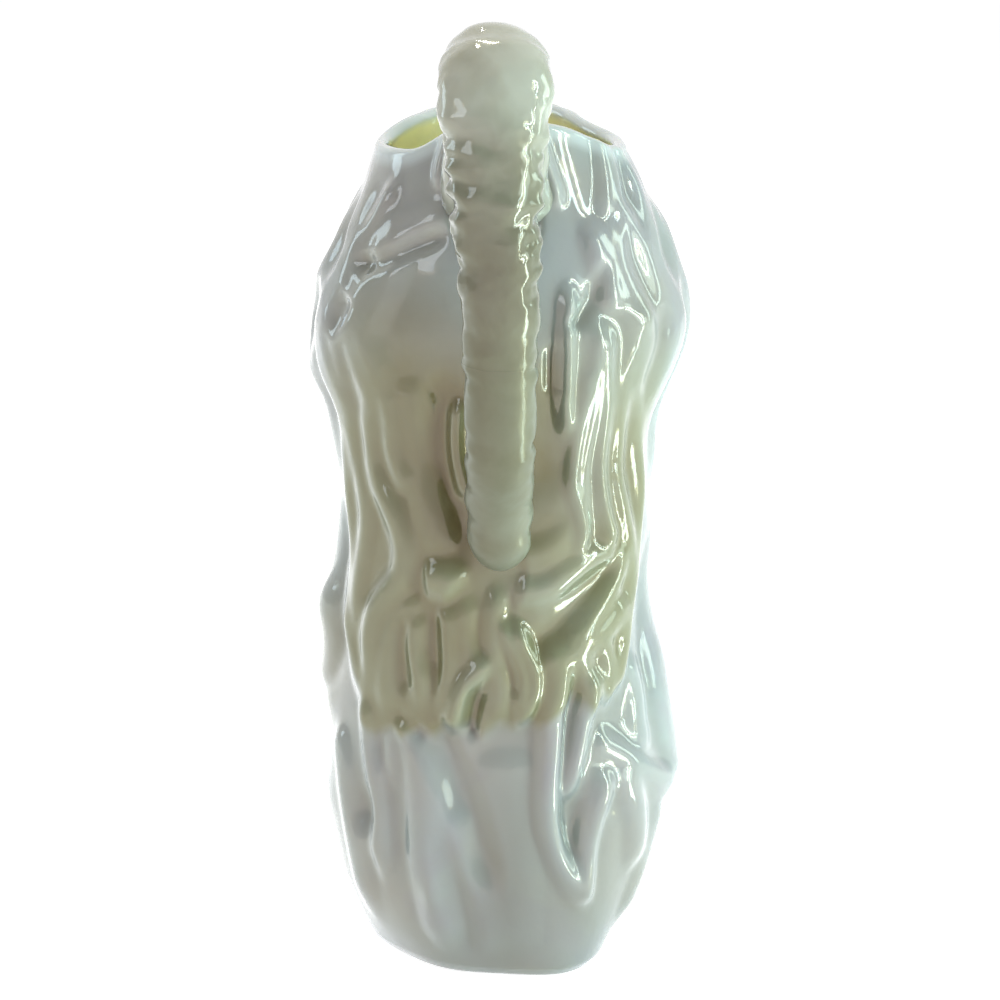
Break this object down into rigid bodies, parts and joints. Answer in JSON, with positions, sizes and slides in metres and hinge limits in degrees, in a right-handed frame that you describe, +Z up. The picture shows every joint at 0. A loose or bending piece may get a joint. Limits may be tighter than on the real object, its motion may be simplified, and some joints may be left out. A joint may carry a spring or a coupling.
{
  "type": "figural pitcher",
  "caption": "Glazed porcelain pitcher shaped as a standing robed figure with hip-long wavy hair, a pouring lip over the brow and a branch-like loop handle behind.",
  "frame": {"origin": "on the table plane, under the middle of the whole pitcher's outline, handle included", "axes": "+Z up, the figure's face and the pouring lip towards -Y, the handle towards +Y, the figure's left hand towards +X"},
  "size_m": [0.0808, 0.1048, 0.2012],
  "materials": {
    "pearl_glaze": "glossy white mother-of-pearl lustre glaze",
    "cream_glaze": "glossy cream lustre glaze",
    "slip": "fired slip, hidden between two castings"
  },
  "bodies": {
    "root": {"body_shell": "pearl_glaze", "handle": "cream_glaze", "handle_upper_slip": "slip", "handle_lower_slip": "slip", "left_forearm": "pearl_glaze", "left_forearm_slip": "slip", "right_forearm": "pearl_glaze", "right_forearm_slip": "slip"}
  },
  "joints": []
}
